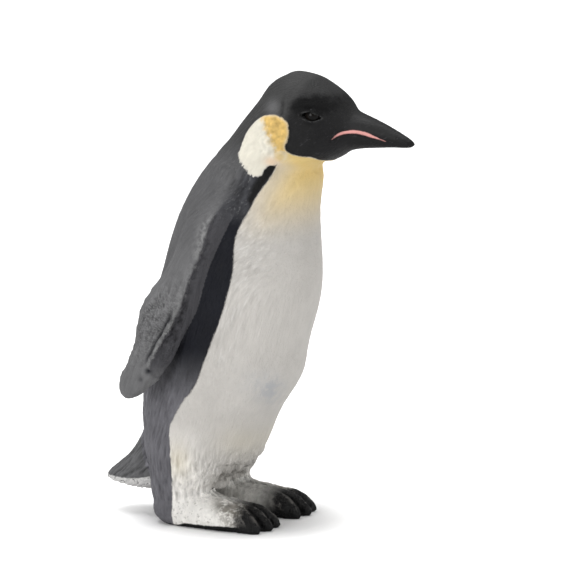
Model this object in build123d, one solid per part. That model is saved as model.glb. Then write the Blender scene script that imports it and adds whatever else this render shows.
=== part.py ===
from build123d import *
import os
from dataclasses import dataclass
from math import cos, pi, sin

# A standing penguin figurine in moulded vinyl, glued together from separate
# pieces by pegs and sockets. All sizes are in millimetres. The bird faces -Y,
# its right side is -X, and it stands on the floor at Z = 0.
# A profile point is (forward, up): forward is how far it lies towards the bill.


@dataclass
class Station:
    """One outline across the skin, from its front profile point to its back one."""

    front: tuple
    back: tuple
    half_width: float
    widest: float = 0.5


@dataclass
class BladeStation:
    """One level outline across a flipper, at its height above the floor."""

    up: float
    out: float
    forward: float
    half_chord: float
    half_thick: float


# Skin of the trunk, from the crotch up to the base of the neck.
TRUNK = [
    Station(front=(0.6, 5.0), back=(-9.0, 6.2), half_width=5.0),
    Station(front=(2.2, 8.0), back=(-12.2, 8.8), half_width=8.6),
    Station(front=(6.0, 11.0), back=(-13.2, 11.4), half_width=10.6),
    Station(front=(7.8, 14.0), back=(-13.6, 14.2), half_width=11.8),
    Station(front=(11.3, 21.3), back=(-13.8, 21.3), half_width=12.9),
    Station(front=(15.1, 30.0), back=(-13.0, 30.0), half_width=13.8),
    Station(front=(17.5, 39.0), back=(-11.4, 39.0), half_width=14.0),
    Station(front=(18.0, 46.0), back=(-9.4, 46.0), half_width=13.6),
    Station(front=(17.7, 52.5), back=(-7.8, 51.5), half_width=12.7),
    Station(front=(18.1, 58.0), back=(-5.5, 57.0), half_width=11.3),
]

# The neck joint, then the head up to the crown.
NECK = Station(front=(18.2, 63.4), back=(-1.0, 64.0), half_width=9.6)
HEAD = [
    Station(front=(21.4, 64.9), back=(0.1, 65.6), half_width=9.1),
    Station(front=(24.3, 66.5), back=(1.5, 67.3), half_width=8.8),
    Station(front=(26.0, 69.0), back=(3.3, 69.6), half_width=8.4),
    Station(front=(26.3, 71.5), back=(5.2, 72.0), half_width=8.0),
    Station(front=(25.5, 74.0), back=(7.2, 74.4), half_width=7.4),
    Station(front=(23.3, 76.2), back=(8.9, 76.6), half_width=6.5),
    Station(front=(20.7, 78.0), back=(10.9, 78.3), half_width=4.9),
    Station(front=(18.6, 79.1), back=(12.9, 79.3), half_width=2.9),
]
CROWN = (15.8, 79.8)

# Bill, from its root inside the face to the tip.
BILL = [
    Station(front=(22.5, 66.4), back=(22.3, 74.2), half_width=4.2),
    Station(front=(25.6, 66.9), back=(25.2, 73.7), half_width=3.6),
    Station(front=(27.4, 67.2), back=(26.9, 73.0), half_width=2.9),
    Station(front=(31.0, 67.55), back=(30.5, 71.8), half_width=1.9),
    Station(front=(34.6, 67.75), back=(34.3, 70.4), half_width=1.2),
    Station(front=(36.5, 68.0), back=(36.35, 69.3), half_width=0.7),
]
BILL_TIP = (37.3, 68.6)

# Legs, from the ankle up into the trunk.
LEG_SPACING = 7.2
ANKLE_HEIGHT = 4.6
LEG = [
    Station(front=(-0.3, ANKLE_HEIGHT), back=(-9.8, ANKLE_HEIGHT), half_width=4.0),
    Station(front=(2.2, 8.0), back=(-10.0, 8.0), half_width=4.7),
    Station(front=(4.0, 11.5), back=(-10.4, 11.5), half_width=5.3),
    Station(front=(5.0, 18.0), back=(-10.5, 18.0), half_width=5.0),
]

# Flippers, from the shoulder down to the tip, with a ridge along the outside.
FLIPPER = [
    BladeStation(up=61.0, out=8.4, forward=6.6, half_chord=1.8, half_thick=1.0),
    BladeStation(up=57.5, out=10.8, forward=4.8, half_chord=4.0, half_thick=2.2),
    BladeStation(up=51.5, out=12.8, forward=2.0, half_chord=4.7, half_thick=2.4),
    BladeStation(up=47.0, out=13.8, forward=0.4, half_chord=4.3, half_thick=2.3),
    BladeStation(up=43.8, out=14.4, forward=-1.1, half_chord=4.7, half_thick=2.2),
    BladeStation(up=39.5, out=15.2, forward=-3.2, half_chord=5.3, half_thick=2.1),
    BladeStation(up=34.0, out=15.8, forward=-4.8, half_chord=4.7, half_thick=1.9),
    BladeStation(up=30.0, out=16.1, forward=-6.3, half_chord=4.3, half_thick=1.8),
    BladeStation(up=26.5, out=16.4, forward=-8.4, half_chord=3.7, half_thick=1.6),
    BladeStation(up=24.1, out=16.5, forward=-9.6, half_chord=2.4, half_thick=1.2),
]
FLIPPER_TIP = (16.5, -10.2, 23.0)
RIDGE_FORWARD = 0.5
EDGE_INWARD = 0.5

# Tail, from its root inside the rump to the tip.
TAIL = [
    Station(front=(-9.5, 4.8), back=(-10.5, 16.5), half_width=5.6, widest=0.35),
    Station(front=(-13.5, 4.2), back=(-15.2, 13.6), half_width=5.6, widest=0.3),
    Station(front=(-17.0, 4.6), back=(-17.9, 9.8), half_width=5.0, widest=0.3),
    Station(front=(-20.0, 5.3), back=(-20.4, 7.7), half_width=3.8, widest=0.3),
    Station(front=(-21.5, 5.8), back=(-21.6, 6.5), half_width=2.2, widest=0.3),
]
TAIL_TIP = (-22.0, 6.1)

# Feet: the heel and instep, then three toes. The floor cuts them flat.
FOOT_SPACING = 7.0
TOE_OUT = 3.0
FOOT = [
    Station(front=(-9.2, 1.7), back=(-9.1, 4.4), half_width=2.0),
    Station(front=(-7.0, -0.4), back=(-6.6, 6.0), half_width=4.2),
    Station(front=(-2.5, -1.6), back=(-2.2, 6.6), half_width=4.7),
    Station(front=(2.5, -1.6), back=(2.8, 5.5), half_width=4.9),
    Station(front=(6.0, -1.4), back=(6.4, 4.7), half_width=5.0),
    Station(front=(8.6, -1.0), back=(9.0, 3.6), half_width=4.4),
]
TOE = [
    Station(front=(3.0, -1.4), back=(3.2, 4.9), half_width=1.8),
    Station(front=(7.0, -1.3), back=(7.3, 4.4), half_width=2.1),
    Station(front=(10.0, -1.1), back=(10.4, 3.6), half_width=1.9),
    Station(front=(12.4, -0.6), back=(12.7, 2.2), half_width=1.2),
]
TOE_TIP = (13.8, 0.5)
TOE_SPREAD = 17.5
TOE_ROOT = 1.2

# The colour line down the flank, where the white breast meets the dark back.
FLANK_LINE = [
    (22.0, 74.0),
    (14.2, 64.4),
    (10.2, 59.4),
    (8.8, 50.0),
    (6.5, 38.6),
    (1.0, 25.6),
    (-3.5, 19.3),
    (-4.7, 14.0),
    (-4.6, -4.0),
]

# The mouth line, from the gape to the bill's tip.
MOUTH_END = (BILL_TIP[0] + 1.2, BILL_TIP[1] - 0.1)
MOUTH_LINE = [(23.6, 69.0), (24.6, 70.0), (27.0, 70.6), (30.5, 69.9), (33.5, 69.0), MOUTH_END]
GAPE_FLOOR = 62.0

# Walls, pegs and fits.
WALL = 2.2
FIT = 0.1
PEG_RADIUS = 2.0
PEG_LENGTH = 5.0
PEG_ROOT = 1.0
SOCKET_WALL = 1.4
FLIPPER_PEG = (2.8, 53.0)
FOOT_PEG_FORWARD = -4.6
TAIL_PEG_UP = 9.5
SPIGOT_LENGTH = 3.5
SPIGOT_GAP = 0.3
POST_RADIUS = 1.8
POST_HEIGHTS = (26.0, 45.0)
POST_MEET = 3.0
POST_GRIP = 4.0

# Eyes: domed beads set in the sides of the head.
EYE_RADIUS = 1.4
EYE_PROUD = 0.45
EYE_SPOT = (20.8, 73.6)

OUTLINE_STEPS = 6
BEYOND = 60.0
MIDDLE = (BILL_TIP[0] + TAIL_TIP[0]) / 2


def spot(across, forward, up):
    """A point from its place across, towards the bill, and above the floor."""
    return Vector(across, MIDDLE - forward, up)


def ring(front, back, half_width, widest):
    """A smooth closed outline from front to back, half_width to each side."""
    middle = front + (back - front) * widest
    halves = []
    for side in (-1, 1):
        points = []
        for step in range(OUTLINE_STEPS + 1):
            turn = pi * step / OUTLINE_STEPS
            reach = front - middle if cos(turn) > 0 else middle - back
            points.append(middle + reach * cos(turn) + Vector(side * half_width * sin(turn), 0, 0))
        across = Vector(side, 0, 0)
        halves.append(Spline(*points, tangents=[across, -across], tangent_scalars=[1, 1]))
    return make_face(halves)


def outline(station, inset=0.0, across_by=0.0):
    """A station of the skin as a face, drawn in by inset."""
    front = spot(across_by, *station.front)
    back = spot(across_by, *station.back)
    draw_in = (back - front).normalized() * inset
    return ring(front + draw_in, back - draw_in, station.half_width - inset, station.widest)


def skin(stations, tip=None, inset=0.0, across_by=0.0):
    """A smooth solid through the stations, closed at a tip if there is one."""
    sections = [outline(station, inset, across_by) for station in stations]
    if tip:
        sections.append(Vertex(*spot(across_by, *tip)))
    return loft(sections)


def slab(profile):
    """A block right across the figure, with this (forward, up) outline."""
    face = make_face(profile)
    return extrude(face, BEYOND, both=True)


def profile_points(points):
    return [spot(0, *point) for point in points]


def behind_flank():
    """Everything behind the colour line."""
    line = Spline(*profile_points(FLANK_LINE))
    top, low = FLANK_LINE[0], FLANK_LINE[-1]
    rear = Polyline(spot(0, *low), spot(0, -BEYOND, low[1]), spot(0, -BEYOND, top[1]), spot(0, *top))
    return slab(line + rear)


def below_mouth():
    """The bill below the mouth line, ahead of the gape."""
    line = Spline(*profile_points(MOUTH_LINE))
    gape, tip = MOUTH_LINE[0], MOUTH_LINE[-1]
    floor = [tip, (tip[0], GAPE_FLOOR), (gape[0], GAPE_FLOOR), gape]
    return slab(line + Polyline(*profile_points(floor)))


def rod(start, direction, radius, length):
    return Solid.make_cylinder(radius, length, Plane(start, z_dir=direction))


def on_skin(solid, start, direction):
    """The furthest point of the skin from start this way, and the way it faces."""
    hits = solid.find_intersection_points(Axis(start, direction))
    ahead = [hit for hit in hits if (hit[0] - start).dot(Vector(direction)) > 0]
    return max(ahead, key=lambda hit: (hit[0] - start).length)


def blade_outline(station, side):
    """A flipper's outline: a leading face, an outer face behind the ridge, and a flat inside."""

    def place(along, thick):
        out = side * (station.out + thick * station.half_thick)
        return spot(out, station.forward + along * station.half_chord, station.up)

    lead, ridge, trail = place(1, -EDGE_INWARD), place(RIDGE_FORWARD, 1), place(-1, -EDGE_INWARD)
    edges = [
        ThreePointArc(lead, place((1 + RIDGE_FORWARD) / 2, 0.4), ridge),
        Spline(ridge, place(-0.3, 0.7), trail),
        Spline(trail, place(0, -1), lead),
    ]
    return make_face(edges)


def flipper(side):
    """A flipper blade, ridged along its leading face."""
    sections = [blade_outline(station, side) for station in FLIPPER]
    out, forward, up = FLIPPER_TIP
    return loft([*sections, Vertex(*spot(side * out, forward, up))])


def foot(side):
    """Heel, instep and three toes, standing flat on the floor."""
    whole = skin(FOOT)
    toe = skin(TOE, TOE_TIP)
    root = Axis(spot(0, TOE_ROOT, 0), (0, 0, 1))
    for spread in (-TOE_SPREAD, 0, TOE_SPREAD):
        whole = whole + toe.rotate(root, spread)
    whole = whole & Pos(0, 0, BEYOND) * Box(2 * BEYOND, 2 * BEYOND, 2 * BEYOND)
    return Pos(side * FOOT_SPACING, 0, 0) * whole.rotate(Axis(spot(0, 0, 0), (0, 0, 1)), side * TOE_OUT)


def build():
    """Every piece of the figurine, by name."""
    behind = behind_flank()
    lower = below_mouth()
    pieces = {}

    hood = skin([NECK, *HEAD], CROWN) + skin(BILL, BILL_TIP)
    trunk = skin([*TRUNK, NECK])
    for side in (-1, 1):
        trunk = trunk + skin(LEG, across_by=side * LEG_SPACING)
    cavity = skin([*TRUNK[3:], NECK], inset=WALL)

    head = hood - lower + extrude(outline(NECK, WALL + SPIGOT_GAP), SPIGOT_LENGTH, dir=(0, 0, -1))
    breast = trunk - behind - cavity
    back = (trunk & behind) - cavity
    tail = skin(TAIL, TAIL_TIP) - trunk
    pieces["lower_bill"] = hood & lower

    for up in POST_HEIGHTS:
        meet = spot(0, POST_MEET, up)
        end = spot(0, POST_MEET + POST_GRIP, up)
        boss = rod(meet, (0, -1, 0), POST_RADIUS + FIT + SOCKET_WALL, BEYOND) & trunk
        breast = breast + boss - rod(meet, (0, -1, 0), POST_RADIUS + FIT, POST_GRIP + FIT)
        back = back + (rod(end, (0, 1, 0), POST_RADIUS, BEYOND) & trunk)

    rump, _ = on_skin(trunk, spot(0, 0, TAIL_PEG_UP), (0, 1, 0))
    tail = tail + rod(rump + Vector(0, PEG_ROOT, 0), (0, -1, 0), PEG_RADIUS, PEG_ROOT + PEG_LENGTH)
    back = back - rod(rump + Vector(0, PEG_ROOT, 0), (0, -1, 0), PEG_RADIUS + FIT, PEG_ROOT + PEG_LENGTH + FIT)
    pieces["tail"] = tail

    for side, name in ((-1, "right"), (1, "left")):
        inward = Vector(-side, 0, 0)
        shoulder, _ = on_skin(trunk, spot(0, *FLIPPER_PEG), (side, 0, 0))
        start = shoulder - inward * PEG_ROOT
        grip = PEG_ROOT + PEG_LENGTH
        boss = rod(start, inward, PEG_RADIUS + FIT + SOCKET_WALL, grip + FIT + SOCKET_WALL)
        back = back + (boss & trunk)
        back = back - rod(start, inward, PEG_RADIUS + FIT, grip + FIT)
        pieces[f"{name}_flipper"] = flipper(side) - trunk + rod(start, inward, PEG_RADIUS, grip)

        ankle = spot(side * LEG_SPACING, FOOT_PEG_FORWARD, ANKLE_HEIGHT - PEG_ROOT)
        pieces[f"{name}_foot"] = foot(side) - trunk + rod(ankle, (0, 0, 1), PEG_RADIUS, grip)
        hole = rod(ankle, (0, 0, 1), PEG_RADIUS + FIT, grip + FIT)
        breast = breast - hole
        back = back - hole

        cheek, facing = on_skin(hood, spot(0, *EYE_SPOT), (side, 0, 0))
        centre = cheek - facing * (EYE_RADIUS - EYE_PROUD)
        socket = Plane(centre, x_dir=inward, z_dir=(0, 0, 1))
        pieces[f"{name}_eye"] = socket * Sphere(EYE_RADIUS)
        head = head - socket * Sphere(EYE_RADIUS + FIT)

    pieces["head"] = head
    pieces["breast_shell"] = breast
    pieces["back_shell"] = back
    return pieces


os.makedirs("parts", exist_ok=True)
for name, piece in build().items():
    export_step(piece, f"parts/{name}.step")
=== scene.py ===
import math

import bmesh
import bpy
import numpy as np
from mathutils import Matrix, Vector
from mathutils.bvhtree import BVHTree


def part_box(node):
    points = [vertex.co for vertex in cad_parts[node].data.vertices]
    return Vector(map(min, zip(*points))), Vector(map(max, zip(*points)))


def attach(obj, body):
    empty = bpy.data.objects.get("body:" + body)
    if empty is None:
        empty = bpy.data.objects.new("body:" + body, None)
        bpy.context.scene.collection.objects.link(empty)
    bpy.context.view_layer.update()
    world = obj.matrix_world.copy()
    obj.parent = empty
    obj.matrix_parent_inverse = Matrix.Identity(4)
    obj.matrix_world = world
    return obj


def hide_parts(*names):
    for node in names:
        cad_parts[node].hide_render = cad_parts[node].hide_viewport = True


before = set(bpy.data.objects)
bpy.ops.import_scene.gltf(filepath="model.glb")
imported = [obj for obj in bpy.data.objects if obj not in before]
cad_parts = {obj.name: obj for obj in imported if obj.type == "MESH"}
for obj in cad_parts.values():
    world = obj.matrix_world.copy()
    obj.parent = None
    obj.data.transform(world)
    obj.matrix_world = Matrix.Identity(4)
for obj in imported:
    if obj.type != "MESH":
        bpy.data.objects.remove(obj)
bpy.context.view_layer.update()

# The bird is shaped in millimetres and brought to metres at the end. A place on it is given as
# forward, the way the bill points, counted from between the legs, and up, from the floor. The two
# sides are alike, apart from a smudge on the belly.
MM = 0.001
BETWEEN_LEGS = 7.65
TINY = 1e-9

# The photograph's camera: turned from a pure side view towards the breast, a little above the floor.
CAMERA_TURN = 26.0
CAMERA_RISE = 10.0
CAMERA_DISTANCE = 1500.0
SENSOR_WIDTH = 36.0
PICTURE_WIDTH = 101.05
PICTURE_MIDDLE = (11.85, 0.31)
HALF_HEIGHT = 40.0

# The floor keeps the shadow under the bird and is lifted to white away from it. These are in metres.
SHADOW_MIDDLE = (0.0, 0.0045, 0.0)
SHADOW_REACH = (0.011, 0.027)
FLOOR_HALF = 3.0
NEAR_LIFT = 0.03
FAR_LIFT = 0.6
ROOM_LIGHT = 0.28

# The casting: its grain, what counts as welded or touching, and the rounds of smoothing.
CASTING_GRAIN = 0.4
WELD = 0.002
TOUCHING = 0.02
BOX_MARGIN = 3.0
FAR_OFF = 9.0
EVENING_ROUNDS = 6
SMOOTH_IN = 0.5
SMOOTH_OUT = -0.52
JOIN_ROUNDS = 60
SHOULDER_ROUNDS = 420
ON_PIECE = 0.4
AT_PIECE = 1.0

# Closing the pieces: a trunk half has a long rim that runs down both legs.
CUT_MARGIN = 0.06
LONG_RIM = 900
LEG_TOP = 12.0
BILL_START = 24.0
JAW_HOLLOW = (0.0, BETWEEN_LEGS - 21.5, 67.6)

SLOTS = {"head": "dark_vinyl", "lower_bill": "dark_vinyl", "breast_shell": "white_vinyl",
         "back_shell": "dark_vinyl", "left_flipper": "dark_vinyl", "right_flipper": "dark_vinyl",
         "left_foot": "foot_vinyl", "right_foot": "foot_vinyl", "tail": "dark_vinyl"}
PIECES = tuple(SLOTS)
GROUPS = {"trunk": ("breast_shell", "back_shell"), "flipper": ("left_flipper", "right_flipper"),
          "foot": ("left_foot", "right_foot"), "hood": ("head", "lower_bill"), "tail": ("tail",)}

# Paint lines and modelled lines, as forward and up.
BREAST_EDGE = [(14.4, 64.3), (13.3, 62.0), (11.6, 59.2), (10.4, 56.5), (9.0, 53.4), (8.5, 50.5),
               (8.4, 45.7), (6.6, 38.6), (3.8, 31.4), (1.3, 25.8), (-1.2, 22.6), (-3.1, 19.5),
               (-4.1, 17.4), (-3.8, 13.0), (-3.8, 8.4), (-4.2, 4.0), (-4.2, -3.0)]
JAW_EDGE = [(16.3, 67.4), (17.3, 66.7), (18.7, 66.3), (20.3, 66.0), (21.5, 65.2), (24.0, 64.6),
            (27.0, 64.6)]
BEFORE_BREAST = [(45.0, 60.0), (45.0, -3.0)]
EAR_EDGE = [(11.0, 72.5), (13.0, 73.1), (15.0, 73.0), (16.4, 72.2), (16.9, 70.8), (16.8, 69.4),
            (16.3, 68.0), (16.6, 66.8), (15.6, 65.4), (14.4, 64.5), (13.3, 64.4), (12.6, 63.8),
            (12.1, 62.8), (11.2, 62.5), (10.3, 62.8), (9.4, 63.6), (8.3, 64.5), (7.3, 65.6),
            (7.1, 66.9), (7.3, 68.2), (7.9, 69.9), (9.2, 71.4)]
LIP_UPPER = [(23.6, 69.2), (24.4, 70.1), (25.4, 70.55), (26.6, 70.75), (28.0, 70.65), (29.6, 70.15),
             (32.2, 68.95)]
LIP_LOWER = [(23.6, 69.2), (24.6, 69.9), (25.6, 70.1), (26.8, 70.16), (28.2, 69.96), (29.8, 69.54),
             (32.2, 68.95)]
MOUTH = [(23.4, 68.9), *LIP_LOWER[1:-1], (33.0, 68.8), (38.5, 68.55)]
TAIL_UNDERSIDE = [(-23.0, 6.4), (-19.4, 6.4), (-15.3, 6.5), (-11.2, 7.2), (-8.0, 7.6)]
FLIPPER_RIDGE = [(7.4, 60.0), (6.8, 58.8), (5.0, 55.7), (3.6, 49.7), (1.8, 45.0), (0.6, 40.9),
                 (-1.1, 36.8), (-3.1, 33.4), (-4.9, 29.8), (-5.0, 27.8), (-4.2, 26.0)]
FLIPPER_PIT = (-5.4, 28.5)
BILL_PLANE = [(24.0, 71.9), (27.0, 71.6), (30.0, 70.8), (33.0, 69.9), (36.0, 69.0)]
CHEEK_GROOVE = [(15.1, 75.3), (15.25, 74.4), (15.2, 73.4)]
NAPE = (15.5, 66.1)

# The belly's folds and creases: height, share of the sway, how far it stands out, and width.
BELLY_FOLDS = ((11.4, 1.0, 0.2, 0.55), (10.4, 1.0, -0.22, 0.45), (9.5, 0.8, 0.16, 0.5),
               (8.6, 1.0, -0.16, 0.4), (7.7, 1.2, 0.12, 0.4), (6.9, 1.0, -0.12, 0.4))

# A foot: how far out it stands, how it is turned, where its toes start and the angle between them.
FOOT_ACROSS = 7.0
FOOT_TURN = 3.0
TOE_ROOT = 1.2
TOE_ANGLE = 17.5

FEATHER_RELIEF = {"Stroke Width": 0.55, "Stroke Length": 3.2, "Scale Size": 1.0, "Seed": 4.0}
RELIEF_GAIN = 3.0
PAINT_MARKS = ("pale", "tail", "ear", "ear_yellow", "ear_orange", "throat", "lips", "face", "brow", "cheek",
               "lead", "blade", "crest", "leg", "lid", "gap", "wedge", "strip", "smudge", "cream", "crotch_shade",
               "toes", "inner_side", "ankle", "sole", "heel", "relief", "scales", "fine", "brushy", "plume",
               "shade", "wash", "toe_crest")


def link(thing):
    bpy.context.scene.collection.objects.link(thing)
    return thing


def plain_mesh(thing):
    """An object's mesh with its modifiers taken in."""
    seen = bpy.context.evaluated_depsgraph_get()
    return bpy.data.meshes.new_from_object(thing.evaluated_get(seen))


def read(items, field, width=1, kind=np.float32):
    """One field of a mesh's points, edges, faces or corners, with a row for each."""
    flat = np.empty(len(items) * width, kind)
    items.foreach_get(field, flat)
    return flat.reshape(-1, width) if width > 1 else flat


def read_points(mesh):
    return read(mesh.vertices, "co", 3).astype(float)


def read_normals(mesh):
    return read(mesh.vertex_normals, "vector", 3).astype(float)


def read_edges(mesh):
    return read(mesh.edges, "vertices", 2, np.int32)


def read_faces(mesh):
    """How many corners each face has, and all the corners in a row."""
    return read(mesh.polygons, "loop_total", 1, np.int32), read(mesh.loops, "vertex_index", 1, np.int32)


def read_value(mesh, name):
    return read(mesh.attributes[name].data, "value").astype(float)


def read_vector(mesh, name):
    return read(mesh.attributes[name].data, "vector", 3).astype(float)


def write_points(mesh, points):
    mesh.vertices.foreach_set("co", points.astype(np.float32).ravel())
    mesh.update()


def keep_value(mesh, name, values):
    found = mesh.attributes.get(name) or mesh.attributes.new(name, "FLOAT", "POINT")
    found.data.foreach_set("value", np.asarray(values, np.float32))


def keep_vector(mesh, name, vectors):
    found = mesh.attributes.get(name) or mesh.attributes.new(name, "FLOAT_VECTOR", "POINT")
    found.data.foreach_set("vector", vectors.astype(np.float32).ravel())


def push_out(mesh, lift):
    """Raises the skin along its normals, by a height for each point."""
    write_points(mesh, read_points(mesh) + read_normals(mesh) * lift[:, None])


def side_places(points):
    """Each point as forward and up."""
    return np.stack([BETWEEN_LEGS - points[:, 1], points[:, 2]], 1)


def ramp(values, low, high):
    """Nothing below the low value, one above the high one, and smooth between."""
    share = np.clip((values - low) / (high - low), 0, 1)
    return share * share * (3 - 2 * share)


def fall(values, low, high):
    """One below the low value, nothing above the high one, and smooth between."""
    return 1 - ramp(values, low, high)


def hump(values, width):
    """One at nothing, fading both ways."""
    return np.exp(-((values / width) ** 2))


def spot(places, middle, width, squeeze=(1.0, 1.0)):
    """A round spot that fades away from its middle; squeeze below one draws it out."""
    return hump(np.hypot(*((places - middle) * squeeze).T), width)


def smooth_line(places, steps=5, closed=False):
    """A smooth line through the places, as many short runs."""
    p = np.array(places, float)
    if closed:
        before, after, beyond = (np.roll(p, turn, 0) for turn in (1, -1, -2))
    else:
        last = 2 * p[-1] - p[-2]
        before = np.vstack([2 * p[0] - p[1], p[:-1]])
        after = np.vstack([p[1:], last])
        beyond = np.vstack([p[2:], last, 3 * p[-1] - 2 * p[-2]])
    line = []
    for k in range(len(p) if closed else len(p) - 1):
        for t in np.arange(steps) / steps:
            line.append(0.5 * (2 * p[k] + (after[k] - before[k]) * t
                               + (2 * before[k] - 5 * p[k] + 4 * after[k] - beyond[k]) * t ** 2
                               + (3 * p[k] - before[k] - 3 * after[k] + beyond[k]) * t ** 3))
    if not closed:
        line.append(p[-1])
    return np.array(line)


def away_from(places, line, reach=3.0):
    """How far each place lies from a line, up to a reach."""
    far = np.full(len(places), reach)
    for start, end in zip(line[:-1], line[1:]):
        low, high = np.minimum(start, end) - reach, np.maximum(start, end) + reach
        near = np.nonzero(np.all((places > low) & (places < high), axis=1))[0]
        run = end - start
        offset = places[near] - start
        share = np.clip(offset @ run / max(run @ run, TINY), 0, 1)
        gap = np.hypot(*(offset - share[:, None] * run).T)
        far[near] = np.minimum(far[near], gap)
    return far


def inside_by(places, outline, reach=3.0):
    """How deep each place lies inside a closed outline, up to a reach; outside it is negative."""
    ring = np.vstack([outline, outline[:1]])
    far = away_from(places, ring, reach)
    within = np.zeros(len(places), bool)
    for (f0, u0), (f1, u1) in zip(ring[:-1], ring[1:]):
        if u1 != u0:
            crosses = np.nonzero((u0 > places[:, 1]) != (u1 > places[:, 1]))[0]
            within[crosses] ^= places[crosses, 0] < f0 + (places[crosses, 1] - u0) * (f1 - f0) / (u1 - u0)
    return np.where(within, far, -far)


# The casting: all the outer pieces run together into one skin


def merged_copy(name):
    shape = bmesh.new()
    shape.from_mesh(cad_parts[name].data)
    bmesh.ops.scale(shape, vec=(1 / MM,) * 3, verts=shape.verts)
    bmesh.ops.remove_doubles(shape, verts=shape.verts, dist=WELD)
    return shape


def open_joint(piece, other):
    """Takes away the faces that touch another piece, so that the two run on with no groove between them."""
    touching = [face for face in piece.faces
                if all(other.find_nearest(place)[3] < TOUCHING
                       for place in (face.calc_center_median(), *(corner.co for corner in face.verts)))]
    bmesh.ops.delete(piece, geom=touching, context="FACES_ONLY")


def run_together():
    """The pieces as one closed skin, because the painted casting shows no gaps, and each node's surface."""
    whole = bmesh.new()
    copies = {name: merged_copy(name) for name in PIECES}
    surfaces = {name: BVHTree.FromBMesh(piece) for name, piece in copies.items()}
    open_joint(copies["head"], surfaces["lower_bill"])
    open_joint(copies["lower_bill"], surfaces["head"])
    for name, piece in copies.items():
        loose = bpy.data.meshes.new(name)
        piece.to_mesh(loose)
        piece.free()
        whole.from_mesh(loose)
        bpy.data.meshes.remove(loose)
    mesh = bpy.data.meshes.new("casting")
    whole.to_mesh(mesh)
    whole.free()
    casting = link(bpy.data.objects.new("casting", mesh))
    even = casting.modifiers.new("even_grain", "REMESH")
    even.mode = "VOXEL"
    even.voxel_size = CASTING_GRAIN
    skin = plain_mesh(casting)
    bpy.data.objects.remove(casting)
    return outer_skin(skin), surfaces


def outer_skin(mesh):
    """Drops the walls of the hollow inside, and keeps the skin that reaches the crown."""
    points, edges = read_points(mesh), read_edges(mesh)
    reached = np.zeros(len(points), bool)
    reached[points[:, 2].argmax()] = True
    grown = edges[:1]
    while len(grown):
        grown = edges[reached[edges[:, 0]] != reached[edges[:, 1]]]
        reached[grown.ravel()] = True
    shape = bmesh.new()
    shape.from_mesh(mesh)
    shape.verts.ensure_lookup_table()
    bmesh.ops.delete(shape, geom=[shape.verts[k] for k in np.nonzero(~reached)[0]], context="VERTS")
    shape.to_mesh(mesh)
    shape.free()
    return mesh


def neighbour_mean(points, edges):
    count = len(points)
    near = np.bincount(edges.ravel(), minlength=count)[:, None]
    total = np.zeros_like(points)
    for axis in range(points.shape[1]):
        total[:, axis] = np.bincount(edges[:, 0], points[edges[:, 1], axis], count)
        total[:, axis] += np.bincount(edges[:, 1], points[edges[:, 0], axis], count)
    return total / near


def evened(points, edges):
    """Takes the steps out of the skin, a little in and a little out in turn so that it keeps its size."""
    for share in (SMOOTH_IN, SMOOTH_OUT) * EVENING_ROUNDS:
        points = points + share * (neighbour_mean(points, edges) - points)
    return points


def melted(points, edges, rounds, weight):
    """Turns creases into fillets where the weight is high."""
    for turn in range(rounds):
        points = points + SMOOTH_IN * weight[:, None] * (neighbour_mean(points, edges) - points)
    return points


def node_box(name):
    """The lowest and highest corners of a CAD node, in millimetres."""
    return [np.array(corner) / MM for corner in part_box(name)]


def distances(points, surfaces):
    """How far each point lies from each piece's CAD surface."""
    found = {}
    for name, surface in surfaces.items():
        low, high = node_box(name)
        close = np.all((points > low - BOX_MARGIN) & (points < high + BOX_MARGIN), axis=1)
        gap = np.full(len(points), FAR_OFF)
        hits = [surface.find_nearest(Vector(p), FAR_OFF)[3] for p in points[close]]
        gap[close] = [FAR_OFF if hit is None else hit for hit in hits]
        found[name] = gap
    return found


def grouped(gaps):
    """The distances from the trunk, flippers, feet, hood and tail, each to the nearest of its pieces."""
    return {group: np.minimum.reduce([gaps[name] for name in names]) for group, names in GROUPS.items()}


def soften_joins(points, edges, near):
    """The plumage runs on over the shoulders, rump, thighs and bill root with no crease."""
    places = side_places(points)
    forward, up = places.T
    meeting = np.maximum(near["trunk"], near["flipper"])
    sunk = 0.1 * ramp(up, 54, 60) * ramp(forward, 3.0, 7.0) * (near["flipper"] < near["trunk"])
    points = np.column_stack([points[:, 0] * (1 - sunk), points[:, 1:]])
    over_blade = np.maximum(ramp(up, 45, 52) * fall(forward, 3.5, 6.5), ramp(up, 57, 59.5))
    shoulder = hump(meeting, 1.8) * over_blade
    rump = hump(np.maximum(near["trunk"], near["tail"]), 1.2) * ramp(up, 7, 10)
    ankle = hump(np.maximum(near["trunk"], near["foot"]), 0.8)
    thigh = 0.6 * hump(up - 13.5, 4.0) * (near["trunk"] < 0.5)
    bill_root = 0.8 * hump(forward - 25.2, 1.4) * ramp(up, 65.5, 66.5)
    chin = 0.3 * spot(places, (19.5, 64.0), 2.0)
    weight = np.clip(shoulder + rump + ankle + thigh + bill_root + chin, 0, 1)
    points = melted(points, edges, JOIN_ROUNDS, weight)
    return melted(points, edges, SHOULDER_ROUNDS, hump(meeting, 2.6) * ramp(up, 54, 58.5))


def finer(mesh):
    """Halves the skin's grain."""
    thing = link(bpy.data.objects.new("finer", mesh))
    halve = thing.modifiers.new("halve", "SUBSURF")
    halve.levels = halve.render_levels = 1
    halve.quality = 1
    halve.use_limit_surface = False
    made = plain_mesh(thing)
    bpy.data.objects.remove(thing)
    return made


# Modelling the mouth, cheek, eyelids, folds, toes and flipper ridges


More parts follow.
